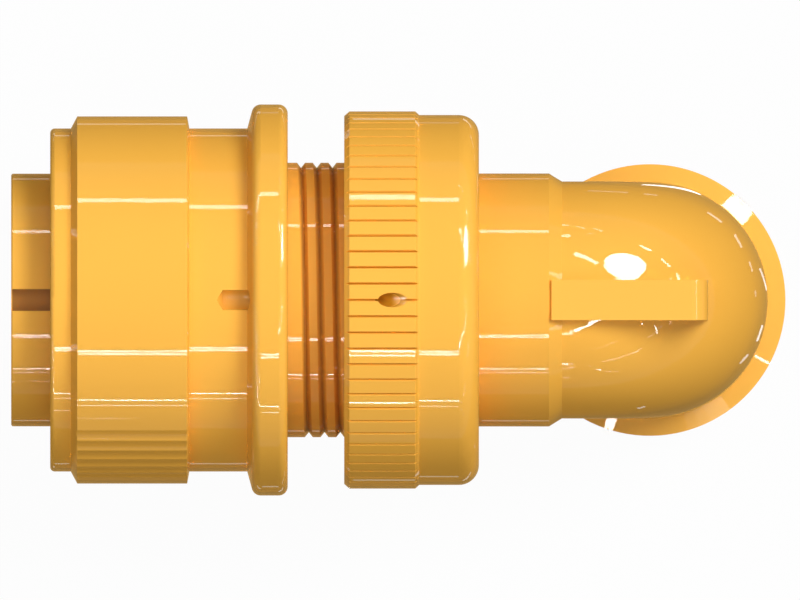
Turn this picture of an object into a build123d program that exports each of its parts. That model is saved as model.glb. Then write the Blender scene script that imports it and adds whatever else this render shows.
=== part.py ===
from build123d import *
import math
import os

# Circular cable plug with a right-angle backshell, in millimetres.
# X is the connector axis: the mating face is at x = 0 and the backshell lies toward +X.
# The keyway, the flange key and the rib on the elbow are on the +Z side; the cable leaves along -Z.
# Angles about the axis are counted from +Z and turn toward -Y.

# Fits and clearances
running_fit = 0.08
running_gap = 0.05
seat_clearance = 0.05
skirt_clearance = 0.30

# Plug shell
nose_radius = 13.90
nose_length = 12.60
nose_edge_chamfer = 0.15
nose_wall = 2.40
insert_seat_setback = 1.40
rear_bore_step = 0.80
keyway_width = 2.40
keyway_depth = 1.50
shoulder_rise = 2.10
shoulder_width = 2.50
shell_length = 43.00
accessory_rise = 1.20
shell_rear_chamfer = 0.60

# Right-hand accessory thread behind the shoulder; its V groove starts on the outlet side
thread_pitch = 1.727
thread_depth = 0.56
thread_groove_width = 0.88
thread_length = 11.55
thread_start_angle = 180.0

# Rings between the nose and the shoulder
seal_thickness = 1.60
seal_wall = 2.00
seal_seat_depth = 0.30
stop_ring_width = 1.40
stop_ring_groove_depth = 0.70
stop_ring_rise = 1.80
stop_ring_gap_width = 3.00
spring_height = 2.20
spring_strip = 0.50
spring_strip_width = 1.40
spring_bore_clearance = 0.60
spring_waves = 3
washer_thickness = 0.80
washer_rise = 2.00

# Coupling nut
nut_setback = 4.29
nut_wall = 2.57
nut_collar_length = 2.27
nut_corner_round = 0.50
grip_rise = 1.33
grip_front_chamfer = 0.71
grip_length = 12.09
grip_rear_chamfer = 0.24
nut_rear_length = 10.82
nut_bore_rise = 2.40
nut_mouth_chamfer = 0.50
nut_rib_width = 3.00
flute_pitch_angle = 5.0
flute_count = 6
flute_depth = 0.10
flute_patch_angles = (60.0, 240.0)
lug_count = 3
lug_diameter = 3.60
lug_height = 1.10
lug_setback = 3.40

# Flange ring pressed on the rear of the nut, and its key
flange_width = 4.45
flange_rise = 2.64
flange_face_draft = 15.0
flange_round = 1.00
key_hole_radius = 1.10
key_hole_length = 7.15
drill_point_angle = 118.0
key_pin_length = 3.20
key_pin_inset = 0.25

# Insert, contacts and rear sealing parts
insert_recess = 0.60
insert_flange_width = 2.50
rear_insert_length = 9.00
contact_circle_share = 0.60
outer_contact_count = 6
pin_entry_radius = 1.35
pin_entry_length = 1.00
pin_entry_chamfer = 0.35
contact_radius = 1.90
contact_collar_radius = 2.40
contact_collar_width = 2.00
contact_tail_radius = 1.75
contact_tail_length = 11.00
contact_socket_radius = 1.19
contact_socket_depth = 9.00
contact_crimp_radius = 1.25
contact_crimp_depth = 7.00
insert_ring_width = 1.00
insert_ring_depth = 0.60
insert_ring_lip = 1.00
insert_ring_gap_width = 4.00
grommet_wire_radius = 1.45
follower_thickness = 5.00
follower_spigot_length = 2.00
follower_hole_radius = 1.90

# Elbow backshell
collar_step = 1.18
collar_length = 16.16
collar_taper_length = 1.43
tube_step = 0.88
tube_wall = 1.64
bend_radius = 9.64
lip_rise = 1.90
lip_cone_height = 0.90
lip_band_height = 3.40
lip_end_chamfer = 0.60
outlet_mouth_chamfer = 0.40
rib_start_gap = 0.27
rib_length = 17.22
rib_width = 4.42
rib_rise = 0.28
rib_end_round = 1.80
face_groove_inset = 0.87
face_groove_width = 0.90
face_groove_depth = 0.85
face_seal_section_radius = 0.40

# Backshell ring nut and the parts that hold it on the elbow
ring_engagement = 6.37
ring_length = 14.82
ring_wall = 5.65
ring_edge_step = 0.51
ring_front_chamfer = 0.58
ring_grip_length = 7.24
ring_rear_chamfer = 0.43
ring_body_step = 0.40
ring_rear_round = 2.20
ring_thread_clearance = 0.10
ring_groove_count = 72
ring_groove_width = 0.28
ring_groove_depth = 0.36
wire_hole_count = 3
wire_hole_diameter = 1.60
wire_hole_slope = 30.0
wire_hole_setback = 5.32
snap_ring_inset = 1.60
snap_ring_width = 1.20
snap_ring_groove_depth = 0.82
snap_ring_rise = 0.98
snap_ring_gap_width = 3.00
slip_washer_thickness = 0.60

# Radii, worked out from the nose outward and inward
nose_bore_radius = nose_radius - nose_wall
rear_bore_radius = nose_bore_radius + rear_bore_step
contact_circle_radius = contact_circle_share * nose_bore_radius
insert_ring_inner_radius = rear_bore_radius - insert_ring_lip
seal_seat_radius = nose_radius - seal_seat_depth
stop_ring_radius = nose_radius + stop_ring_rise
spring_inner_radius = nose_radius + spring_bore_clearance
spring_outer_radius = spring_inner_radius + spring_strip_width
washer_radius = nose_radius + washer_rise
shoulder_radius = nose_radius + shoulder_rise
accessory_radius = nose_radius + accessory_rise
nut_bore_radius = nose_radius + nut_bore_rise
nut_collar_radius = nut_bore_radius + nut_wall
grip_radius = nut_collar_radius + grip_rise
flange_radius = nut_collar_radius + flange_rise
collar_radius = accessory_radius - collar_step
tube_radius = collar_radius - tube_step
tube_bore_radius = tube_radius - tube_wall
lip_radius = tube_radius + lip_rise
face_groove_radius = collar_radius - face_groove_inset
snap_ring_radius = collar_radius + snap_ring_rise
ring_grip_radius = accessory_radius + ring_wall
ring_edge_radius = ring_grip_radius - ring_edge_step
ring_body_radius = ring_grip_radius - ring_body_step

# Stations along the axis; the outlet ends level with the flange ring's rim
seal_x = nose_length
stop_ring_x = seal_x + seal_thickness
spring_x = stop_ring_x + stop_ring_width
washer_x = spring_x + spring_height
nut_rib_x = washer_x + washer_thickness + running_gap
shoulder_x = nut_rib_x + nut_rib_width + running_gap
grip_x = nut_setback + nut_collar_length + grip_front_chamfer
nut_rear_x = grip_x + grip_length + grip_rear_chamfer
nut_end_x = nut_rear_x + nut_rear_length
flange_x = nut_end_x - flange_width
insert_seat_x = nose_length + insert_seat_setback
rear_insert_x = insert_seat_x + insert_flange_width
insert_ring_x = rear_insert_x + rear_insert_length
grommet_x = insert_ring_x + insert_ring_width
follower_x = shell_length - follower_thickness
contact_collar_x = rear_insert_x - contact_collar_width
contact_front_x = insert_recess + pin_entry_length
contact_end_x = rear_insert_x + contact_tail_length
ring_x = shell_length - ring_engagement
snap_ring_x = shell_length + snap_ring_inset
slip_washer_x = snap_ring_x + snap_ring_width + running_gap
ring_shoulder_x = slip_washer_x + slip_washer_thickness + running_gap
ring_end_x = ring_x + ring_length
taper_x = shell_length + collar_length
bend_x = taper_x + collar_taper_length
outlet_x = bend_x + bend_radius
outlet_drop = flange_radius
thread_x = shell_length - thread_length
reach = 100.0


def turned(outline, rounds=()):
    """Solid turned about the X axis from (x, radius) corners; rounds holds (corner number, radius)."""
    section = make_face(Polyline(*outline, close=True))
    for corner, radius in rounds:
        vertex = section.vertices().sort_by_distance(Vector(*outline[corner]))[0]
        section = section.face().fillet_2d(radius, [vertex])
    return revolve(section, Axis.X)


def tube(start, end, inner_radius, outer_radius):
    """Plain ring about the X axis."""
    corners = [(start, inner_radius), (start, outer_radius), (end, outer_radius), (end, inner_radius)]
    return turned(corners)


def rod(start, end, radius):
    """Plain cylinder along the X axis."""
    return extrude(Plane.YZ.offset(start) * Circle(radius), end - start)


def around_axis(shape, angle):
    """Copy of a shape turned about the connector axis."""
    return Rot(X=angle) * shape


def split_ring(ring, gap_width):
    """Opens a ring on the side away from the keyway so that it can spring into its groove."""
    gap = Pos(0, 0, -reach / 2) * Box(reach, gap_width, reach)
    return ring - gap


def contact_places():
    """Positions of the contacts in the insert: one in the middle and a circle around it."""
    places = [Pos(0, 0, 0)]
    for number in range(outer_contact_count):
        angle = 360.0 * number / outer_contact_count
        places.append(Rot(X=angle) * Pos(0, 0, contact_circle_radius))
    return places


def thread_groove(run):
    """Right-handed V groove of a given axial run."""
    overrun = 0.10
    half_width = thread_groove_width / 2
    slope = half_width / thread_depth
    helix = Helix(thread_pitch, run, accessory_radius, center=(thread_x, 0, 0), direction=(1, 0, 0))
    section_plane = Plane(origin=helix @ 0, x_dir=(1, 0, 0), z_dir=helix % 0)
    top = half_width + overrun * slope
    section = section_plane * make_face(
        Polyline((-top, overrun), (top, overrun), (0, -thread_depth), close=True)
    )
    groove = sweep(section, path=helix, is_frenet=True)
    return around_axis(groove, thread_start_angle)


def make_plug_shell():
    """Nose with its keyway, seat for the nut, threaded rear end and stepped bore."""
    stop_groove_radius = nose_radius - stop_ring_groove_depth
    blank_end_x = shell_length + 2 * thread_pitch
    blank = turned(
        [
            (0, nose_bore_radius),
            (0, nose_radius - nose_edge_chamfer),
            (nose_edge_chamfer, nose_radius),
            (seal_x, nose_radius),
            (seal_x, seal_seat_radius),
            (stop_ring_x, seal_seat_radius),
            (stop_ring_x, stop_groove_radius),
            (spring_x, stop_groove_radius),
            (spring_x, nose_radius),
            (shoulder_x, nose_radius),
            (shoulder_x, shoulder_radius),
            (shoulder_x + shoulder_width, shoulder_radius),
            (shoulder_x + shoulder_width, accessory_radius),
            (blank_end_x, accessory_radius),
            (blank_end_x, rear_bore_radius),
            (grommet_x, rear_bore_radius),
            (grommet_x, rear_bore_radius + insert_ring_depth),
            (insert_ring_x, rear_bore_radius + insert_ring_depth),
            (insert_ring_x, rear_bore_radius),
            (insert_seat_x, rear_bore_radius),
            (insert_seat_x, nose_bore_radius),
        ]
    )
    slot_height = 2 * keyway_depth
    keyway = Pos(nose_length / 2, 0, nose_radius) * Box(nose_length, keyway_width, slot_height)
    groove = thread_groove(thread_length + thread_pitch)
    parting_cut = turned(
        [
            (shell_length, 0),
            (shell_length, accessory_radius - shell_rear_chamfer),
            (shell_length - 2 * shell_rear_chamfer, accessory_radius + shell_rear_chamfer),
            (blank_end_x + 1, accessory_radius + shell_rear_chamfer),
            (blank_end_x + 1, 0),
        ]
    )
    return blank - keyway - groove - parting_cut


def make_front_insert():
    """Hard insulator that fills the nose; its flange seats on the step of the shell's bore."""
    body_radius = nose_bore_radius - seat_clearance
    insert = turned(
        [
            (insert_recess, 0),
            (insert_recess, body_radius),
            (insert_seat_x, body_radius),
            (insert_seat_x, rear_bore_radius - seat_clearance),
            (rear_insert_x, rear_bore_radius - seat_clearance),
            (rear_insert_x, 0),
        ]
    )
    socket_hole_radius = contact_radius + seat_clearance
    collar_hole_radius = contact_collar_radius + seat_clearance
    hole = turned(
        [
            (insert_recess, 0),
            (insert_recess, pin_entry_radius + pin_entry_chamfer),
            (insert_recess + pin_entry_chamfer, pin_entry_radius),
            (contact_front_x, pin_entry_radius),
            (contact_front_x, socket_hole_radius),
            (contact_collar_x, socket_hole_radius),
            (contact_collar_x, collar_hole_radius),
            (rear_insert_x, collar_hole_radius),
            (rear_insert_x, 0),
        ]
    )
    return insert - [place * hole for place in contact_places()]


def make_rear_insert():
    """Hard insulator that traps the contact collars from behind."""
    insert = rod(rear_insert_x, insert_ring_x, rear_bore_radius - seat_clearance)
    hole = rod(rear_insert_x, insert_ring_x, contact_tail_radius + seat_clearance)
    return insert - [place * hole for place in contact_places()]


def make_insert_retaining_ring():
    """Split ring that locks both insulators in the shell's bore."""
    outer_radius = rear_bore_radius + insert_ring_depth - seat_clearance
    ring = tube(insert_ring_x, grommet_x, insert_ring_inner_radius, outer_radius)
    return split_ring(ring, insert_ring_gap_width)


def make_grommet():
    """Rubber wire seal: wide around the contact tails, narrow around the wires."""
    grommet = rod(grommet_x, follower_x, rear_bore_radius - seat_clearance)
    hole = rod(grommet_x, contact_end_x, contact_tail_radius + seat_clearance)
    hole += rod(contact_end_x, follower_x, grommet_wire_radius)
    return grommet - [place * hole for place in contact_places()]


def make_contact():
    """Socket contact: bored for a pin in front, collar in the middle, crimp well behind."""
    return turned(
        [
            (contact_front_x + contact_socket_depth, 0),
            (contact_front_x + contact_socket_depth, contact_socket_radius),
            (contact_front_x, contact_socket_radius),
            (contact_front_x, contact_radius),
            (contact_collar_x, contact_radius),
            (contact_collar_x, contact_collar_radius),
            (rear_insert_x, contact_collar_radius),
            (rear_insert_x, contact_tail_radius),
            (contact_end_x, contact_tail_radius),
            (contact_end_x, contact_crimp_radius),
            (contact_end_x - contact_crimp_depth, contact_crimp_radius),
            (contact_end_x - contact_crimp_depth, 0),
        ]
    )


def make_peripheral_seal():
    """Rubber ring at the root of the nose, met by the mating shell's rim."""
    inner_radius = seal_seat_radius + seat_clearance
    return tube(seal_x, stop_ring_x, inner_radius, inner_radius + seal_wall)


def make_spring_stop_ring():
    """Split ring in the shell's groove that the wave spring pushes against."""
    inner_radius = nose_radius - stop_ring_groove_depth + seat_clearance
    ring = tube(stop_ring_x, spring_x, inner_radius, stop_ring_radius)
    return split_ring(ring, stop_ring_gap_width)


def wave_edge(radius, middle_x, amplitude):
    """Closed wave around the axis at one radius."""
    steps = 12 * spring_waves
    points = []
    for step in range(steps):
        angle = 2 * math.pi * step / steps
        lift = amplitude * math.cos(spring_waves * angle)
        points.append((middle_x + lift, radius * math.sin(angle), radius * math.cos(angle)))
    return Spline(*points, periodic=True)


def make_wave_spring():
    """Flat strip ring bent into waves that hold the nut rearward."""
    amplitude = (spring_height - spring_strip - 2 * running_gap) / 2
    low_x = spring_x + running_gap + amplitude
    inner = wave_edge(spring_inner_radius, low_x, amplitude)
    outer = wave_edge(spring_outer_radius, low_x, amplitude)
    surface = Face.make_surface_from_curves(inner.edge(), outer.edge())
    return extrude(surface, spring_strip, dir=(1, 0, 0))


def make_thrust_washer():
    """Flat washer between the wave spring and the nut's rib."""
    return tube(washer_x, washer_x + washer_thickness, nose_radius + running_fit, washer_radius)


def make_key_hole():
    """Drilled hole along the joint between nut and flange ring, with the drill's pointed end."""
    start_x = nut_end_x - key_hole_length
    point_depth = key_hole_radius / math.tan(math.radians(drill_point_angle / 2))
    hole = turned(
        [
            (start_x - point_depth, 0),
            (start_x, key_hole_radius),
            (nut_end_x, key_hole_radius),
            (nut_end_x, 0),
        ]
    )
    return Pos(0, 0, nut_collar_radius) * hole


def flute_cutters():
    """Round flutes in patches on the grip, edge to edge."""
    half_chord = grip_radius * math.radians(flute_pitch_angle) / 2
    cutter_radius = (half_chord**2 + flute_depth**2) / (2 * flute_depth)
    centre_radius = grip_radius - flute_depth + cutter_radius
    start_x = nut_setback + nut_collar_length
    cutter = Pos(0, 0, centre_radius) * rod(start_x, nut_rear_x, cutter_radius)
    first = -flute_pitch_angle * (flute_count - 1) / 2
    cutters = []
    for patch_angle in flute_patch_angles:
        for number in range(flute_count):
            angle = patch_angle + first + flute_pitch_angle * number
            cutters.append(around_axis(cutter, angle))
    return cutters


def bayonet_lugs():
    """Round lugs inside the mouth of the nut, one for each ramp of the mating shell."""
    blank = rod(nut_setback, nut_rib_x, nut_bore_radius + seat_clearance)
    blank -= rod(nut_setback, nut_rib_x, nut_bore_radius - lug_height)
    stem = extrude(Circle(lug_diameter / 2), nut_bore_radius + lug_height)
    lug = blank & (Pos(nut_setback + lug_setback, 0, 0) * stem)
    return [around_axis(lug, 360.0 * number / lug_count) for number in range(lug_count)]


def make_coupling_nut():
    """Nut with a collar, a partly fluted grip, a rear skirt and an inner rib."""
    rib_end_x = nut_rib_x + nut_rib_width
    grip_end_x = grip_x + grip_length
    nut = turned(
        [
            (nut_setback, nut_bore_radius + nut_mouth_chamfer),
            (nut_setback, nut_collar_radius),
            (nut_setback + nut_collar_length, nut_collar_radius),
            (grip_x, grip_radius),
            (grip_end_x, grip_radius),
            (nut_rear_x, nut_collar_radius),
            (nut_end_x, nut_collar_radius),
            (nut_end_x, shoulder_radius + skirt_clearance),
            (rib_end_x, shoulder_radius + skirt_clearance),
            (rib_end_x, nose_radius + running_fit),
            (nut_rib_x, nose_radius + running_fit),
            (nut_rib_x, nut_bore_radius),
            (nut_setback + nut_mouth_chamfer, nut_bore_radius),
        ],
        rounds=[(1, nut_corner_round)],
    )
    nut -= flute_cutters()
    nut -= make_key_hole()
    return nut + bayonet_lugs()


def make_nut_flange_ring():
    """Raised ring at the rear of the nut, with a drafted front face and rounded rim."""
    draft_length = (flange_radius - nut_collar_radius) * math.tan(math.radians(flange_face_draft))
    ring = turned(
        [
            (flange_x, nut_collar_radius),
            (flange_x + draft_length, flange_radius),
            (nut_end_x, flange_radius),
            (nut_end_x, nut_collar_radius),
        ],
        rounds=[(1, flange_round), (2, flange_round)],
    )
    return ring - make_key_hole()


def make_flange_key_pin():
    """Dowel in the drilled hole that stops the flange ring turning on the nut."""
    end_x = nut_end_x - key_pin_inset
    pin = rod(end_x - key_pin_length, end_x, key_hole_radius - seat_clearance)
    return Pos(0, 0, nut_collar_radius) * pin


def make_grommet_follower():
    """Metal disc that presses the grommet and centres the elbow on its spigot."""
    follower = rod(follower_x, shell_length, rear_bore_radius - running_fit)
    spigot_end_x = shell_length + follower_spigot_length
    follower += rod(shell_length, spigot_end_x, tube_bore_radius - running_fit)
    hole = rod(follower_x, spigot_end_x, follower_hole_radius)
    return follower - [place * hole for place in contact_places()]


def elbow_form(radius, start_x, end_z):
    """Round bar that runs along X, bends through a right angle and runs down to end_z."""
    straight = rod(start_x, bend_x, radius)
    disc = Plane.YZ.offset(bend_x) * Circle(radius)
    upper_side = Pos(bend_x, 0, reach / 2 - bend_radius) * Box(reach, reach, reach)
    pivot = Axis((bend_x, 0, -bend_radius), (0, 1, 0))
    bend = revolve(disc & upper_side, pivot, 90)
    drop = extrude(Plane((outlet_x, 0, end_z)) * Circle(radius), -bend_radius - end_z)
    return straight + bend + drop


def make_lip():
    """Flared lip at the cable outlet that holds a shrink boot."""
    cone_top_z = -outlet_drop + lip_band_height + lip_cone_height
    band_top_z = -outlet_drop + lip_band_height
    outline = Polyline(
        (0, -outlet_drop),
        (lip_radius - lip_end_chamfer, -outlet_drop),
        (lip_radius, -outlet_drop + lip_end_chamfer),
        (lip_radius, band_top_z),
        (tube_radius, cone_top_z),
        (0, cone_top_z),
        close=True,
    )
    lip = revolve(Plane.XZ * make_face(outline), Axis.Z)
    return Pos(outlet_x, 0, 0) * lip


def make_elbow_rib():
    """Straight rib along the back of the bend, with one rounded end."""
    start_x = taper_x + rib_start_gap
    top_z = collar_radius + rib_rise
    side = Polyline(
        (start_x, 0),
        (start_x, top_z),
        (start_x + rib_length, top_z),
        (start_x + rib_length, 0),
        close=True,
    )
    face = Plane.XZ * make_face(side)
    rib = extrude(face, rib_width / 2, both=True)
    corner = rib.edges().filter_by(Axis.Y).sort_by_distance((start_x + rib_length, 0, top_z))[0]
    return fillet(corner, rib_end_round)


def make_elbow_backshell():
    """Cast right-angle elbow: collar, bend, outlet with lip, rib and through bore."""
    snap_groove_radius = collar_radius - snap_ring_groove_depth
    collar = turned(
        [
            (shell_length, 0),
            (shell_length, collar_radius),
            (snap_ring_x, collar_radius),
            (snap_ring_x, snap_groove_radius),
            (snap_ring_x + snap_ring_width, snap_groove_radius),
            (snap_ring_x + snap_ring_width, collar_radius),
            (taper_x, collar_radius),
            (bend_x, tube_radius),
            (bend_x, 0),
        ]
    )
    elbow = collar + elbow_form(tube_radius, taper_x, -outlet_drop) + make_lip() + make_elbow_rib()
    elbow -= elbow_form(tube_bore_radius, shell_length, -outlet_drop)
    groove_inner = face_groove_radius - face_groove_width / 2
    groove_outer = face_groove_radius + face_groove_width / 2
    elbow -= tube(shell_length, shell_length + face_groove_depth, groove_inner, groove_outer)
    mouth = Pos(outlet_x, 0, -outlet_drop) * Cone(
        tube_bore_radius + outlet_mouth_chamfer,
        tube_bore_radius,
        outlet_mouth_chamfer,
        align=(Align.CENTER, Align.CENTER, Align.MIN),
    )
    return elbow - mouth


def make_elbow_face_seal():
    """Rubber ring in the elbow's front face, squeezed by the end of the shell."""
    centre_x = shell_length + face_groove_depth - running_gap - face_seal_section_radius
    section = Pos(centre_x, face_groove_radius) * Circle(face_seal_section_radius)
    return revolve(section, Axis.X)


def ring_grooves():
    """Narrow V grooves along the grip of the ring nut."""
    overrun = 0.20
    half_width = ring_groove_width / 2
    top = half_width * (1 + overrun / ring_groove_depth)
    outline = Polyline(
        (-top, ring_grip_radius + overrun),
        (top, ring_grip_radius + overrun),
        (0, ring_grip_radius - ring_groove_depth),
        close=True,
    )
    length = ring_front_chamfer + ring_grip_length + ring_rear_chamfer
    groove = extrude(Plane.YZ.offset(ring_x) * make_face(outline), length)
    return [around_axis(groove, 360.0 * number / ring_groove_count) for number in range(ring_groove_count)]


def wire_holes():
    """Sloping lock-wire holes from the grip to the front face of the ring nut."""
    entry = Pos(ring_x + wire_hole_setback, 0, ring_grip_radius)
    length = 2 * wire_hole_setback / math.cos(math.radians(wire_hole_slope))
    drill = Cylinder(wire_hole_diameter / 2, length)
    hole = entry * Rot(Y=90.0 - wire_hole_slope) * drill
    return [around_axis(hole, 360.0 * number / wire_hole_count) for number in range(wire_hole_count)]


def make_backshell_ring_nut():
    """Ring nut that screws on the shell's rear thread and draws the elbow up to it."""
    grip_end_x = ring_x + ring_front_chamfer + ring_grip_length
    thread_bore_radius = accessory_radius + ring_thread_clearance
    ring = turned(
        [
            (ring_x, thread_bore_radius),
            (ring_x, ring_edge_radius),
            (ring_x + ring_front_chamfer, ring_grip_radius),
            (grip_end_x, ring_grip_radius),
            (grip_end_x + ring_rear_chamfer, ring_body_radius),
            (ring_end_x, ring_body_radius),
            (ring_end_x, collar_radius + running_fit),
            (ring_shoulder_x, collar_radius + running_fit),
            (ring_shoulder_x, thread_bore_radius),
        ],
        rounds=[(5, ring_rear_round)],
    )
    ring -= ring_grooves()
    return ring - wire_holes()


def make_ring_nut_snap_ring():
    """Split ring in the elbow's groove that the ring nut pulls on."""
    inner_radius = collar_radius - snap_ring_groove_depth + seat_clearance
    ring = tube(snap_ring_x, snap_ring_x + snap_ring_width, inner_radius, snap_ring_radius)
    return split_ring(ring, snap_ring_gap_width)


def make_ring_nut_slip_washer():
    """Flat washer that lets the ring nut turn against the snap ring."""
    end_x = slip_washer_x + slip_washer_thickness
    return tube(slip_washer_x, end_x, collar_radius + running_fit, snap_ring_radius)


def write_parts(parts):
    """Writes one STEP file per piece, named after it."""
    os.makedirs("parts", exist_ok=True)
    for name, solid in parts.items():
        export_step(solid, f"parts/{name}.step")


parts = {
    "plug_shell": make_plug_shell(),
    "front_insert": make_front_insert(),
    "rear_insert": make_rear_insert(),
    "insert_retaining_ring": make_insert_retaining_ring(),
    "grommet": make_grommet(),
    "peripheral_seal": make_peripheral_seal(),
    "spring_stop_ring": make_spring_stop_ring(),
    "wave_spring": make_wave_spring(),
    "thrust_washer": make_thrust_washer(),
    "coupling_nut": make_coupling_nut(),
    "nut_flange_ring": make_nut_flange_ring(),
    "flange_key_pin": make_flange_key_pin(),
    "grommet_follower": make_grommet_follower(),
    "elbow_backshell": make_elbow_backshell(),
    "elbow_face_seal": make_elbow_face_seal(),
    "backshell_ring_nut": make_backshell_ring_nut(),
    "ring_nut_snap_ring": make_ring_nut_snap_ring(),
    "ring_nut_slip_washer": make_ring_nut_slip_washer(),
}
contact = make_contact()
for number, place in enumerate(contact_places(), start=1):
    parts[f"socket_contact_{number}"] = place * contact
write_parts(parts)
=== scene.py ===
"""Looks of the circular cable plug with right-angle backshell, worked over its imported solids."""

import math

import bpy
import numpy as np
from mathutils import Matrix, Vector


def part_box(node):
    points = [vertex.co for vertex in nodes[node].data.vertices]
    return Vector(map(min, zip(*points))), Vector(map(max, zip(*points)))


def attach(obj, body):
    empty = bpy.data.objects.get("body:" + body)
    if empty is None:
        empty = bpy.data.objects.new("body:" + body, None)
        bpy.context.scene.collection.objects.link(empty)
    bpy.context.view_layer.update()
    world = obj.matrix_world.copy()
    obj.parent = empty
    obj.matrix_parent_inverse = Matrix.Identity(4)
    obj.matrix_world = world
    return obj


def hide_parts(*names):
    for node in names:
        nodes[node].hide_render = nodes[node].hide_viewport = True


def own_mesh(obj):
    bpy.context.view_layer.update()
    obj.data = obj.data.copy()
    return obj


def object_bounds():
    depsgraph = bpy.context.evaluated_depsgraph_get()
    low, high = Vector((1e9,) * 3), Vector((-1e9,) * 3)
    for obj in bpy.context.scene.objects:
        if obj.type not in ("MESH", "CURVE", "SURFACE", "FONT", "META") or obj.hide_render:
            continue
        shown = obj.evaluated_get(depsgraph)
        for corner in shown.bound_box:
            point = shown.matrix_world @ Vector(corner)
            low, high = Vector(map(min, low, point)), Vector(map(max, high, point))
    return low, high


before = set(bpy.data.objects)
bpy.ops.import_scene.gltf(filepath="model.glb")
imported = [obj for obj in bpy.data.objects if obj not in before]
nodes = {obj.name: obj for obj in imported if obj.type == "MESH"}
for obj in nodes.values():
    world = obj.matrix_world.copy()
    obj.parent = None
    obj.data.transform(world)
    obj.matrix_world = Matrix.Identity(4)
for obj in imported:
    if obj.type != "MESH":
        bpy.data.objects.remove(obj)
cad_low, cad_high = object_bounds()

MILLIMETRE = 0.001

# Blender's noise seldom leaves this range
NOISE_LOW, NOISE_HIGH = 0.3, 0.7


def link_chain(tree, *steps):
    """Links pairs of (output socket, input socket)."""
    for source, target in steps:
        tree.links.new(source, target)


def new_finish(name):
    """New material, with its node tree and its Principled shader."""
    finish = bpy.data.materials.new(name)
    finish.use_nodes = True
    tree = finish.node_tree
    return finish, tree, tree.nodes["Principled BSDF"]


def add(tree, kind, **values):
    """Adds one node and sets its properties."""
    node = tree.nodes.new(kind)
    for key, value in values.items():
        setattr(node, key, value)
    return node


def object_place(tree):
    """Object coordinates, which on these pieces are the part's own frame in metres."""
    return add(tree, "ShaderNodeTexCoord").outputs["Object"]


def noise(tree, place, lump_size, detail=2.0, roughness=0.5):
    """Noise whose lumps measure about lump_size millimetres."""
    node = add(tree, "ShaderNodeTexNoise")
    node.inputs["Scale"].default_value = 1.0 / (lump_size * MILLIMETRE)
    node.inputs["Detail"].default_value = detail
    node.inputs["Roughness"].default_value = roughness
    tree.links.new(place, node.inputs["Vector"])
    return node.outputs["Fac"]


def ramp(tree, value, start, end, low=0.0, high=1.0):
    """Straight ramp from low at start to high at end, level beyond them."""
    node = add(tree, "ShaderNodeMapRange")
    node.inputs["From Min"].default_value = start
    node.inputs["From Max"].default_value = end
    node.inputs["To Min"].default_value = low
    node.inputs["To Max"].default_value = high
    tree.links.new(value, node.inputs["Value"])
    return node.outputs["Result"]


def spread(tree, value, low, high):
    """Noise stretched to the range low..high."""
    return ramp(tree, value, NOISE_LOW, NOISE_HIGH, low, high)


def joined(tree, operation, first, second):
    """Math of two values."""
    node = add(tree, "ShaderNodeMath", operation=operation)
    link_chain(tree, (first, node.inputs[0]), (second, node.inputs[1]))
    return node.outputs[0]


def two_tones(tree, factor, first, second):
    """Blends two colours by a factor; the first may also be the socket that gives it."""
    node = add(tree, "ShaderNodeMix", data_type="RGBA")
    if isinstance(first, tuple):
        node.inputs["A"].default_value = (*first, 1.0)
    else:
        tree.links.new(first, node.inputs["A"])
    node.inputs["B"].default_value = (*second, 1.0)
    tree.links.new(factor, node.inputs["Factor"])
    return node.outputs["Result"]


def bump(tree, height, depth, before=None):
    """Bump from a 0..1 height, depth millimetres deep, on top of the one before it."""
    node = add(tree, "ShaderNodeBump")
    node.inputs["Distance"].default_value = depth * MILLIMETRE
    tree.links.new(height, node.inputs["Height"])
    if before is not None:
        tree.links.new(before, node.inputs["Normal"])
    return node.outputs["Normal"]


def turned_place(tree, place):
    """Place as (distance along the plug's axis, distance from it, 0).

    A pattern on it runs in rings round the axis.
    """
    split = add(tree, "ShaderNodeSeparateXYZ")
    across = add(tree, "ShaderNodeCombineXYZ")
    radius = add(tree, "ShaderNodeVectorMath", operation="LENGTH")
    ring = add(tree, "ShaderNodeCombineXYZ")
    link_chain(
        tree,
        (place, split.inputs[0]),
        (split.outputs["Y"], across.inputs["Y"]),
        (split.outputs["Z"], across.inputs["Z"]),
        (across.outputs[0], radius.inputs[0]),
        (split.outputs["X"], ring.inputs["X"]),
        (radius.outputs["Value"], ring.inputs["Y"]),
    )
    return ring.outputs[0]


# Grooves painted darker as shade, in millimetres: x from and to, radius of the land and of the
# bottom, least radius, and the stretch before "x to" over which the painted shade fades to nothing
SHELL_SHADED_GROOVES = (
    # Start of the thread, the rest of it, keyway
    (31.3, 32.4, 15.08, 14.7, 14.0, 0.05),
    (32.35, 43.0, 15.4, 14.65, 14.0, 0.05),
    (0.1, 12.5, 13.87, 13.2, 12.0, 0.05),
)
NUT_SHADED_GROOVES = (
    # Flutes, flange key's hole
    (7.2, 19.3, 20.19, 19.74, 19.6, 0.05),
    (20.0, 29.6, 18.80, 16.9, 17.2, 0.05),
)
RING_SHADED_GROOVES = (
    # Knurl, lock-wire holes, whose painted shade fades out over the last millimetre toward +X
    (37.0, 44.7, 20.73, 20.3, 20.30, 0.05),
    (40.0, 42.8, 20.28, 20.2, 17.0, 1.0),
)
# Stretch in millimetres over which a groove begins, along the axis and above its least radius
GROOVE_EDGE = 0.05


# Painted shade: the share of the darker groove tone at each place
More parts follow.
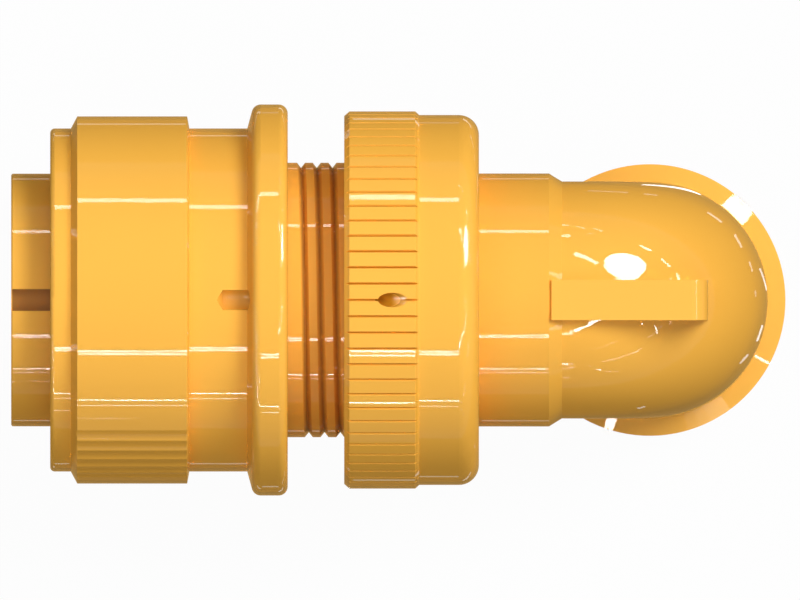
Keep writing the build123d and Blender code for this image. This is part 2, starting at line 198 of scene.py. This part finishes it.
def groove_shade_mask(tree, ring_place, shaded_grooves):
    """How deep a place lies in any of the grooves, 0 at the land to 1 at the bottom."""
    split = add(tree, "ShaderNodeSeparateXYZ")
    tree.links.new(ring_place, split.inputs[0])

    def rise(axis, start, end):
        return ramp(tree, split.outputs[axis], start * MILLIMETRE, end * MILLIMETRE)

    deepest = None
    for x_from, x_to, land, bottom, least, fade in shaded_grooves:
        begins = rise("X", x_from, x_from + GROOVE_EDGE)
        ends = rise("X", x_to, x_to - fade)
        falls = rise("Y", land, bottom)
        holds = rise("Y", least, least + GROOVE_EDGE)
        span = joined(tree, "MULTIPLY", begins, ends)
        depth = joined(tree, "MULTIPLY", span, joined(tree, "MULTIPLY", falls, holds))
        deepest = depth if deepest is None else joined(tree, "MAXIMUM", deepest, depth)
    return deepest


# Tones that the enamel drifts between, on turned pieces and on the cast elbow; the elbow's are
# darker, painted shade over its bend, whose heights are painted paler again
AMBER = ((0.965, 0.485, 0.066), (0.985, 0.50, 0.071))
CAST_SHADED_AMBER = ((0.90, 0.452, 0.062), (0.92, 0.466, 0.067))
# Its paler tone, painted light on the elbow's heights that face up
LIT_AMBER = (0.985, 0.502, 0.078)
# Its darker tones, painted shade in the grooves of the turned pieces and of the ring
GROOVE_SHADE_AMBER = (0.46, 0.19, 0.035)
RING_SHADE_AMBER = (0.58, 0.24, 0.014)
# Size of the lumps in the metal under it and how deep they are, in millimetres
TURNED_LUMPS = (2.5, 0.00005)
CAST_LUMPS = (4.0, 0.001)
# Heights at which the elbow is painted paler as light, in millimetres: z where it starts and
# where it is full, for the outlet's lip and for the rib's top
ELBOW_LIT_HEIGHTS = ((-15.0, -15.2), (14.1, 14.18))


def enamel(name, lumps=TURNED_LUMPS, tones=AMBER, shaded_grooves=(), groove_shade_tone=GROOVE_SHADE_AMBER, lit_heights=()):
    """Glossy amber enamel: faint drift of tone, orange peel, and the metal's own lumps under it.

    In the grooves it is painted darker as shade, the deeper the darker. On the given heights it
    is painted paler as light.
    """
    drift_size, film_size, peel_size, peel_depth = 12.0, 1.5, 0.6, 0.00004
    least_rough, most_rough = 0.015, 0.03
    refraction = 1.25
    finish, tree, shader = new_finish(name)
    place = object_place(tree)
    tone = two_tones(tree, noise(tree, place, drift_size), *tones)
    # Painted shade: darker tone in the grooves, the deeper the darker
    if shaded_grooves:
        tone = two_tones(tree, groove_shade_mask(tree, turned_place(tree, place), shaded_grooves), tone, groove_shade_tone)
    # Painted light: paler tone on the given heights
    for start, full in lit_heights:
        split = add(tree, "ShaderNodeSeparateXYZ")
        tree.links.new(place, split.inputs[0])
        level = ramp(tree, split.outputs["Z"], start * MILLIMETRE, full * MILLIMETRE)
        tone = two_tones(tree, level, tone, LIT_AMBER)
    film = noise(tree, place, film_size)
    peel = bump(tree, noise(tree, place, peel_size), peel_depth)
    lump_size, lump_depth = lumps
    under = bump(tree, noise(tree, place, lump_size), lump_depth, before=peel)
    link_chain(
        tree,
        (tone, shader.inputs["Base Color"]),
        (spread(tree, film, least_rough, most_rough), shader.inputs["Roughness"]),
        (under, shader.inputs["Normal"]),
    )
    shader.inputs["IOR"].default_value = refraction
    return finish


def moulded(name, tones, cloud_size, grain_size, grain_depth, gloss, sheen=0.0):
    """Moulded plastic or rubber: cloudy tone and gloss, and a fine grain.

    Sizes are in millimetres; gloss is the least and the most roughness.
    """
    finish, tree, shader = new_finish(name)
    place = object_place(tree)
    cloud = noise(tree, place, cloud_size, detail=4.0)
    grain = noise(tree, place, grain_size, detail=3.0)
    link_chain(
        tree,
        (two_tones(tree, cloud, *tones), shader.inputs["Base Color"]),
        (spread(tree, cloud, *gloss), shader.inputs["Roughness"]),
        (bump(tree, grain, grain_depth), shader.inputs["Normal"]),
    )
    shader.inputs["Sheen Weight"].default_value = sheen
    return finish


def bare_metal(name, tones, mark_size, mark_depth, gloss):
    """Turned bare metal: tool marks in rings about the plug's axis, and cloudy gloss.

    Sizes are in millimetres; gloss is the least and the most roughness. The tones go from the
    marks' dark bands to their light ones.
    """
    cloud_size = 3.0
    finish, tree, shader = new_finish(name)
    place = object_place(tree)
    marks = noise(tree, turned_place(tree, place), mark_size, detail=3.0, roughness=0.6)
    cloud = noise(tree, place, cloud_size, detail=3.0)
    link_chain(
        tree,
        (two_tones(tree, marks, *tones), shader.inputs["Base Color"]),
        (spread(tree, cloud, *gloss), shader.inputs["Roughness"]),
        (bump(tree, marks, mark_depth), shader.inputs["Normal"]),
    )
    shader.inputs["Metallic"].default_value = 1.0
    return finish


# Near-black thermoset with a satin skin
moulded_insulator = moulded(
    "moulded_insulator",
    ((0.014, 0.014, 0.015), (0.026, 0.025, 0.026)),
    cloud_size=5.0,
    grain_size=0.12,
    grain_depth=0.004,
    gloss=(0.34, 0.5),
)
# Brick-red silicone rubber, matt and slightly mottled
seal_rubber = moulded(
    "seal_rubber",
    ((0.27, 0.055, 0.03), (0.35, 0.08, 0.045)),
    cloud_size=2.5,
    grain_size=0.2,
    grain_depth=0.008,
    gloss=(0.62, 0.8),
    sheen=0.15,
)
contact_gold = bare_metal(
    "contact_gold", ((0.78, 0.54, 0.20), (0.90, 0.66, 0.26)), 0.10, 0.003, (0.20, 0.32)
)
spring_steel = bare_metal(
    "spring_steel", ((0.38, 0.38, 0.39), (0.55, 0.55, 0.56)), 0.12, 0.004, (0.28, 0.42)
)
bare_aluminium = bare_metal(
    "bare_aluminium", ((0.70, 0.71, 0.73), (0.84, 0.85, 0.86)), 0.18, 0.006, (0.30, 0.45)
)
shell_enamel = enamel("shell_enamel", shaded_grooves=SHELL_SHADED_GROOVES)
nut_enamel = enamel("nut_enamel", shaded_grooves=NUT_SHADED_GROOVES)
ring_enamel = enamel("ring_enamel", shaded_grooves=RING_SHADED_GROOVES, groove_shade_tone=RING_SHADE_AMBER)
flange_enamel = enamel("flange_enamel")
# The elbow: darker tones as painted shade, its lip and rib top painted paler as light
cast_enamel = enamel("cast_enamel", CAST_LUMPS, CAST_SHADED_AMBER, lit_heights=ELBOW_LIT_HEIGHTS)

worn_by = (
    (shell_enamel, ["plug_shell"]),
    (nut_enamel, ["coupling_nut"]),
    (flange_enamel, ["nut_flange_ring"]),
    (ring_enamel, ["backshell_ring_nut"]),
    (cast_enamel, ["elbow_backshell"]),
    (moulded_insulator, ["front_insert", "rear_insert"]),
    (seal_rubber, ["grommet", "peripheral_seal", "elbow_face_seal"]),
    (contact_gold, [f"socket_contact_{number}" for number in range(1, 8)]),
    (
        spring_steel,
        [
            "insert_retaining_ring",
            "spring_stop_ring",
            "thrust_washer",
            "flange_key_pin",
            "ring_nut_snap_ring",
            "ring_nut_slip_washer",
        ],
    ),
    (bare_aluminium, ["grommet_follower"]),
)
for finish, node_names in worn_by:
    for node_name in node_names:
        nodes[node_name].data.materials[0] = finish


def make_wave_spring():
    """Wave spring: a flat strip with rounded edges, closed round the plug's axis.

    The angle t goes once round, and the strip's outline once round a rounded rectangle. The
    middle of the strip lies at x = middle + amplitude cos(3 t), and the outline is added to
    (x, radius) there.
    """
    strip, width, edge = 0.5 * MILLIMETRE, 1.4 * MILLIMETRE, 0.12 * MILLIMETRE
    waves, steps_round, steps_corner = 3, 180, 4
    low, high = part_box("wave_spring")
    amplitude = (high.x - low.x - strip) / 2
    middle_x = (high.x + low.x) / 2
    middle_radius = high.y - width / 2
    corner = np.repeat((0.25, 0.75, 1.25, 1.75), steps_corner) * np.pi
    swing = np.tile(np.linspace(-0.25, 0.25, steps_corner), 4) * np.pi
    out_x = np.sign(np.cos(corner)) * (strip / 2 - edge) + edge * np.cos(corner + swing)
    out_r = np.sign(np.sin(corner)) * (width / 2 - edge) + edge * np.sin(corner + swing)
    t = np.linspace(0, 2 * np.pi, steps_round, endpoint=False)[:, None]
    x = middle_x + amplitude * np.cos(waves * t) + out_x
    r = middle_radius + out_r
    points = np.stack([x, r * np.sin(t), r * np.cos(t)], axis=-1)
    rows, columns = points.shape[:2]
    index = np.arange(rows * columns).reshape(rows, columns)
    along = np.roll(index, -1, axis=0)
    faces = np.stack(
        [index, np.roll(index, -1, axis=1), np.roll(along, -1, axis=1), along], axis=-1
    )
    mesh = bpy.data.meshes.new("wave_spring_strip")
    mesh.from_pydata(points.reshape(-1, 3).tolist(), [], faces.reshape(-1, 4).tolist())
    mesh.shade_smooth()
    mesh.materials.append(spring_steel)
    spring = bpy.data.objects.new("wave_spring_strip", mesh)
    bpy.context.scene.collection.objects.link(spring)
    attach(spring, "plug")
    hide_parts("wave_spring")
    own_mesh(spring)


make_wave_spring()

# Middle of the view, x and y, how far across the view reaches, and the camera's height, in metres
VIEW_CENTRE = (0.04277, 0.0)
VIEW_WIDTH = 0.088
CAMERA_HEIGHT = 0.5
# Level of the floor in millimetres
FLOOR = cad_low.z / MILLIMETRE
# Half the width of the floor and of the cards that cover it, in millimetres
FLOOR_REACH = 3000.0
CARD_REACH = 300.0
# How high over the floor the cards and the strips lie, in millimetres
AMBER_CARD_LIFT = 0.2
DARK_CARD_LIFT = 0.3
STRIP_LIFT = 0.4
AMBER_CARD_TONE = (1.0, 0.52, 0.10)
AMBER_CARD_BRIGHTNESS = 0.4
DARK_CARD_BRIGHTNESS = 0.005
# Cards that shade the floor round the part in reflections: how high over the floor they lie and
# how far they stand out past the part's outline, both in millimetres, brightness, tone
SHADE_CARDS = (
    (0.22, 15.0, 0.32, (1.0, 0.53, 0.14)),
    (0.24, 9.5, 0.21, (1.0, 0.61, 0.21)),
)
SHADE_CARD_STEPS = 400

# Stretches of the outline that a thin floor strip lights along their rims: x from and to, and
# radius, in millimetres, then the strip's brightness on the upper and lower side, 0 for no strip
RIMS = (
    (0.2, 4.2, 13.90, 0.76, 0.76),
    (4.5, 6.4, 18.87, 0.76, 0.76),
    (7.3, 19.2, 20.20, 0.76, 0),
    (19.7, 26.6, 18.87, 0.76, 0.76),
    (27.6, 29.6, 21.51, 0.40, 0.76),
    (30.2, 37.0, 15.10, 0.76, 0.76),
    (37.6, 44.4, 20.75, 0.76, 0.76),
    (44.8, 49.4, 20.35, 0.40, 0.76),
    (51.8, 59.8, 13.92, 0.76, 0.76),
)
# The picture's upper and lower side: way along Y, and how far the rim's normal leans that way
# where its fine line runs
SIDES = (("upper", 1, 0.958), ("lower", -1, 0.9545))
STRIP_TONE = (1.0, 0.87, 0.72)
STRIP_HALF_WIDTH = 0.9

# x of the outlet's axis and the radius of its lip, in millimetres
BEND_CENTRE = 70.23
LIP_RADIUS = 14.9
# Strips round the elbow's bend: degrees from and to about the outlet's axis, distance from it at
# each end in millimetres, brightness
BEND_RIMS = (
    (64.0, 89.0, 15.5, 19.6, 1.2),
    (-21.0, -12.5, 18.7, 18.2, 1.0),
    (-34.5, -28.5, 23.1, 21.2, 1.0),
    (45.2, 53.5, 27.5, 28.0, 1.3),
    (28.7, 36.5, 27.8, 26.2, 1.3),
    (15.1, 20.4, 27.2, 27.0, 1.1),
    (1.8, 5.0, 28.1, 27.6, 0.8),
    (4.7, 15.9, 15.9, 19.2, 0.8),
    (-83.9, -80.5, 30.9, 32.2, 1.2),
    (76.0, 80.5, 31.7, 33.18, 0.9),
    (85.5, 90.0, 34.82, 36.3, 0.9),
    (90.0, 97.0, 36.3, 38.0, 0.9),
)
BEND_STRIP_STEPS = 16

# Light panels seen only in reflections, one row each: azimuth from and to in degrees, counted
# from +X toward +Y, then the height of the direction at either end, the panel's height across,
# and brightness
PANELS = (
    # Line on the upper side of the turned pieces, and round their corners that face the front
    (85.2, 98.0, 0.416, 0.416, 0.046, 11.0),
    (98.0, 116.0, 0.416, 0.393, 0.030, 30.0),
    (116.0, 140.0, 0.393, 0.280, 0.030, 30.0),
    (140.0, 155.0, 0.280, 0.370, 0.030, 30.0),
    # Dashes on the upper side of the elbow
    (75.3, 78.5, 0.335, 0.368, 0.016, 12.0),
    (44.0, 51.5, 0.3175, 0.3175, 0.025, 18.0),
    (28.0, 36.5, 0.3175, 0.3175, 0.025, 18.0),
    (16.5, 22.0, 0.2975, 0.2975, 0.025, 18.0),
    (71.7, 76.6, 0.265, 0.238, 0.018, 12.0),
    (80.1, 83.4, 0.254, 0.226, 0.018, 12.0),
    (87.1, 89.2, 0.202, 0.202, 0.018, 12.0),
    (60.4, 80.8, 0.754, 0.691, 0.035, 20.0),
    # Twin lines near the middle of the lower side, and the arc that goes on from them on the bend
    (-100.0, -78.0, 0.8455, 0.8455, 0.009, 22.0),
    (-100.0, -78.0, 0.8285, 0.8285, 0.009, 22.0),
    (-76.0, -66.0, 0.858, 0.870, 0.022, 36.0),
    (-66.0, -55.0, 0.870, 0.883, 0.013, 36.0),
    (-55.0, -42.0, 0.883, 0.860, 0.012, 36.0),
    (-42.0, -10.0, 0.860, 0.720, 0.020, 24.0),
    (-10.0, -1.0, 0.720, 0.700, 0.020, 24.0),
    # Twin lines further down, a short one below them, and the lines round the front corners
    (-96.0, -84.0, 0.4105, 0.4105, 0.011, 32.0),
    (-96.0, -84.0, 0.3455, 0.3455, 0.009, 12.0),
    (-93.0, -90.9, 0.176, 0.176, 0.006, 8.0),
    (-129.0, -96.5, 0.385, 0.4105, 0.030, 30.0),
    (-149.0, -129.0, 0.425, 0.385, 0.030, 30.0),
    (-178.0, -149.0, 0.460, 0.425, 0.030, 25.0),
    # Dashes on the lower side of the elbow, and a last one beside the rib
    (-70.1, -47.2, 0.397, 0.390, 0.011, 8.0),
    (-37.0, -22.8, 0.460, 0.450, 0.010, 4.0),
    (-31.7, -25.5, 0.440, 0.502, 0.020, 20.0),
    (-77.4, -75.9, 0.357, 0.357, 0.010, 12.0),
    (-75.3, -73.4, 0.270, 0.245, 0.020, 25.0),
    (-71.2, -69.9, 0.200, 0.185, 0.014, 14.0),
    (-68.3, -67.6, 0.160, 0.155, 0.012, 12.0),
    (-88.3, -87.2, 0.148, 0.148, 0.010, 10.0),
    (29.0, 36.0, 0.785, 0.785, 0.020, 20.0),
    # Streak across the outlet's lip
    (-28.1, -26.9, 0.6186, 0.6186, 0.007, 24.0),
    # Line across the rib's rounded end
    (-3.0, 3.0, 0.830, 0.830, 0.040, 12.0),
    # Pale stretch of the outlet's lip
    (-72.5, -67.5, 0.6220, 0.6215, 0.010, 1.1),
    (-67.5, -62.5, 0.6215, 0.6210, 0.010, 1.8),
    (-62.5, -57.5, 0.6210, 0.6207, 0.010, 2.7),
    (-57.5, -52.7, 0.6207, 0.6203, 0.010, 2.8),
    # Dashes where the elbow tapers to the outlet
    (18.3, 20.2, 0.3943, 0.3801, 0.025, 5.0),
    (-21.4, -19.8, 0.3700, 0.3832, 0.025, 3.6),
)
PANEL_STEPS = 12
# Round panels: the place they face, direction, distance, half angle in degrees, brightness
ROUND_PANELS = (
    ((0.0675, 0.0038, 0.012), (0.5489, 0.5282, 0.648), 0.17, 12.6, 30.0),
    ((0.04277, 0.0, 0.0), (-0.2231, -0.7438, 0.63), 2.0, 1.7, 30.0),
)
ROUND_PANEL_STEPS = 49
# Glow of a panel, a card or a strip whose brightness is 1
UNIT_GLOW = 2.5
# How far off the panels and the lamps stand, in metres
LIGHT_DISTANCE = 2.0

# Share of the floor that glows white to the camera and in reflections, and its grey under light
FLOOR_GLOW_SHARE = 0.97
FLOOR_GREY = 0.8
# Even light that the surroundings give to matt surfaces
WORLD_LIGHT = 0.008


def seen_plainly(tree):
    """1 for the rays of the camera, of glossy reflection and of transmission, else 0."""
    rays = add(tree, "ShaderNodeLightPath").outputs
    straight_on = joined(tree, "MAXIMUM", rays["Is Camera Ray"], rays["Is Glossy Ray"])
    return joined(tree, "MAXIMUM", straight_on, rays["Is Transmission Ray"])


def flat_grid(x, y, lift):
    """Grid of places in metres, from grids of x and y and a lift over the floor in millimetres."""
    return np.stack([x, y, np.full_like(x, FLOOR + lift)], axis=-1) * MILLIMETRE


def new_sheet(name, places, finish):
    """Sheet through a grid of places."""
    rows, columns = places.shape[:2]
    index = np.arange(rows * columns).reshape(rows, columns)
    faces = np.stack(
        [index[:-1, :-1], index[1:, :-1], index[1:, 1:], index[:-1, 1:]], axis=-1
    )
    mesh = bpy.data.meshes.new(name)
    mesh.from_pydata(places.reshape(-1, 3).tolist(), [], faces.reshape(-1, 4).tolist())
    mesh.materials.append(finish)
    sheet = bpy.data.objects.new(name, mesh)
    bpy.context.scene.collection.objects.link(sheet)
    return sheet


def make_floor():
    """Plain pale floor under the part, white where nothing shades it."""
    finish = bpy.data.materials.new("pale_floor")
    finish.use_nodes = True
    tree = finish.node_tree
    tree.nodes.clear()
    matt = add(tree, "ShaderNodeBsdfDiffuse")
    matt.inputs["Color"].default_value = (FLOOR_GREY, FLOOR_GREY, FLOOR_GREY, 1.0)
    glow = add(tree, "ShaderNodeEmission")
    mix = add(tree, "ShaderNodeMixShader")
    out = add(tree, "ShaderNodeOutputMaterial")
    share = ramp(tree, seen_plainly(tree), 0.0, 1.0, 0.0, FLOOR_GLOW_SHARE)
    link_chain(
        tree,
        (share, mix.inputs["Fac"]),
        (matt.outputs[0], mix.inputs[1]),
        (glow.outputs[0], mix.inputs[2]),
        (mix.outputs[0], out.inputs["Surface"]),
    )
    x, y = np.meshgrid((-FLOOR_REACH, FLOOR_REACH), (FLOOR_REACH, -FLOOR_REACH))
    floor = new_sheet("floor", flat_grid(x, y, 0.0), finish)


def make_world():
    """White surroundings to the camera and in reflections, and a low even light."""
    world = bpy.data.worlds.new("studio")
    world.use_nodes = True
    bpy.context.scene.world = world
    tree = world.node_tree
    tree.nodes.clear()
    sky = add(tree, "ShaderNodeBackground")
    out = add(tree, "ShaderNodeOutputWorld")
    link_chain(
        tree,
        (ramp(tree, seen_plainly(tree), 0.0, 1.0, WORLD_LIGHT, 1.0), sky.inputs["Strength"]),
        (sky.outputs[0], out.inputs["Surface"]),
    )


def make_panel(name, places, brightness, tone=(1.0, 1.0, 1.0)):
    """Glowing sheet through a grid of places, seen by glossy rays alone."""
    finish = bpy.data.materials.new(name)
    finish.use_nodes = True
    tree = finish.node_tree
    tree.nodes.clear()
    glow = add(tree, "ShaderNodeEmission")
    glow.inputs["Color"].default_value = (*tone, 1.0)
    glow.inputs["Strength"].default_value = UNIT_GLOW * brightness
    out = add(tree, "ShaderNodeOutputMaterial")
    tree.links.new(glow.outputs[0], out.inputs["Surface"])
    finish.cycles.emission_sampling = "NONE"
    panel = new_sheet(name, places, finish)
    for ray in ("camera", "diffuse", "transmission", "volume_scatter", "shadow"):
        setattr(panel, "visible_" + ray, False)
    return panel


def outline_places():
    """Places on the outline's upper half, x and y in millimetres: the rims, the lip's circle."""
    steps_rim, steps_lip = 12, 60
    x, y = [], []
    for x_from, x_to, radius, *_ in RIMS:
        x.append(np.linspace(x_from, x_to, steps_rim))
        y.append(np.full(steps_rim, radius))
    turn = np.linspace(0, np.pi, steps_lip)
    x.append(BEND_CENTRE + LIP_RADIUS * np.cos(turn))
    y.append(LIP_RADIUS * np.sin(turn))
    return np.concatenate(x), np.concatenate(y)


def make_cards():
    """Cards over the floor, unseen by the camera: one amber, two shade cards, one dark.

    The amber one stands in for the floor in reflections, so that the rims of the enamel stay
    deep. The shade cards on it deepen the rims toward their edge: each is the outline grown by
    a disc, so at each x its half width is the greatest of y + sqrt(grown^2 - (x - x_edge)^2)
    over the places on the outline. The dark one keeps the white floor's bounced light off the
    sides.
    """
    centre = VIEW_CENTRE[0] / MILLIMETRE
    x, y = np.meshgrid((centre - CARD_REACH, centre + CARD_REACH), (-CARD_REACH, CARD_REACH))
    amber_places = flat_grid(x, y, AMBER_CARD_LIFT)
    make_panel("amber_card", amber_places, AMBER_CARD_BRIGHTNESS, tone=AMBER_CARD_TONE)
    x_edge, y_edge = outline_places()
    for number, (lift, grown, brightness, tone) in enumerate(SHADE_CARDS):
        x_along = np.linspace(-grown, BEND_CENTRE + LIP_RADIUS + grown, SHADE_CARD_STEPS)
        away = np.abs(x_along[:, None] - x_edge)
        reach = y_edge + np.sqrt(np.clip(grown**2 - away**2, 0, None))
        half = np.where(away <= grown, reach, 0).max(axis=1)
        places = flat_grid(np.stack([x_along, x_along]), np.stack([-half, half]), lift)
        make_panel(f"shade_card_{number}", places, brightness, tone=tone)
    dark_card = make_panel("dark_card", flat_grid(x, y, DARK_CARD_LIFT), DARK_CARD_BRIGHTNESS)
    dark_card.visible_diffuse = True
    dark_card.visible_glossy = False


def make_rim_strips():
    """Thin bright strips over the cards, each mirrored by a rim of the outline as a fine line.

    The line lies where the rim's normal has y = lean and z = rise. A ray that comes straight
    down there leaves with slope 2 lean rise / (1 - 2 rise^2), across for each unit down, and
    meets the strip's level at y_floor.
    """
    widths = np.array((-STRIP_HALF_WIDTH, STRIP_HALF_WIDTH))
    down = FLOOR + STRIP_LIFT
    for number, (x_from, x_to, radius, *brightnesses) in enumerate(RIMS):
        for (side, way, lean), brightness in zip(SIDES, brightnesses):
            if not brightness:
                continue
            rise = math.sqrt(1 - lean**2)
            slope = 2 * lean * rise / (1 - 2 * rise**2)
            y_floor = lean * radius + slope * (rise * radius - down)
            x, y = np.meshgrid((x_from, x_to), way * (y_floor + widths))
            places = flat_grid(x, y, STRIP_LIFT)
            make_panel(f"rim_strip_{number}_{side}", places, brightness, tone=STRIP_TONE)
    for number, (turn_from, turn_to, out_from, out_to, brightness) in enumerate(BEND_RIMS):
        along, across = np.meshgrid(np.linspace(0, 1, BEND_STRIP_STEPS), widths)
        turn = np.radians(turn_from + (turn_to - turn_from) * along)
        out = out_from + (out_to - out_from) * along + across
        x, y = BEND_CENTRE + out * np.cos(turn), out * np.sin(turn)
        make_panel(f"bend_strip_{number}", flat_grid(x, y, STRIP_LIFT), brightness)


def make_panels():
    """Panels about the part: the rows on a sphere round it, and the round ones.

    A place on a row has height h and azimuth a that change evenly along it, so its direction is
    (sqrt(1 - h^2) cos a, sqrt(1 - h^2) sin a, h).
    """
    middle = np.array((*VIEW_CENTRE, 0.0))
    for number, (start, end, low, high, across, brightness) in enumerate(PANELS):
        along, lift = np.meshgrid(np.linspace(0, 1, PANEL_STEPS), (-across / 2, across / 2))
        azimuth = np.radians(start + (end - start) * along)
        height = low + (high - low) * along + lift
        level = np.sqrt(1 - height**2)
        places = np.stack([level * np.cos(azimuth), level * np.sin(azimuth), height], axis=-1)
        make_panel(f"row_panel_{number}", middle + LIGHT_DISTANCE * places, brightness)
    for number, (faced, direction, distance, half_angle, brightness) in enumerate(ROUND_PANELS):
        axis = np.array(direction) / np.linalg.norm(direction)
        side = np.cross(axis, (0, 0, 1))
        side /= np.linalg.norm(side)
        up = np.cross(side, axis)
        radius = math.tan(math.radians(half_angle))
        turn, out = np.meshgrid(np.linspace(0, 2 * np.pi, ROUND_PANEL_STEPS), (0.0, radius))
        turn, out = turn[..., None], out[..., None]
        places = axis + out * (np.cos(turn) * side + np.sin(turn) * up)
        make_panel(f"round_panel_{number}", np.array(faced) + distance * places, brightness)


def lamp(name, shape, direction, size, radiance):
    """Square or round lamp, turned to the middle of the part, that no reflection shows."""
    data = bpy.data.lights.new(name, "AREA")
    data.shape = shape
    data.size = size
    area = size**2 * (math.pi / 4 if shape == "DISK" else 1.0)
    data.energy = radiance * area * math.pi
    holder = bpy.data.objects.new(name, data)
    bpy.context.scene.collection.objects.link(holder)
    unit = Vector(direction).normalized()
    holder.location = Vector((*VIEW_CENTRE, 0.0)) + LIGHT_DISTANCE * unit
    holder.rotation_mode = "QUATERNION"
    holder.rotation_quaternion = unit.to_track_quat("Z", "Y")
    holder.visible_camera = False
    holder.visible_glossy = False


def make_camera():
    """Camera straight over the part; 800 pixels across give 0.11 mm each."""
    data = bpy.data.cameras.new("camera")
    data.type = "ORTHO"
    data.ortho_scale = VIEW_WIDTH
    data.clip_start = 0.01
    data.clip_end = 10.0
    camera = bpy.data.objects.new("camera", data)
    bpy.context.scene.collection.objects.link(camera)
    camera.location = (*VIEW_CENTRE, CAMERA_HEIGHT)
    bpy.context.scene.camera = camera


make_floor()
make_cards()
make_rim_strips()
make_world()
make_panels()
lamp("overhead_softbox", "SQUARE", (0.0, 0.0, 1.0), 3.6, 1.28)
lamp("key_softbox", "DISK", (0.559, 0.371, 0.742), 0.95, 11.9)
make_camera()
bpy.context.scene.view_settings.view_transform = "Standard"
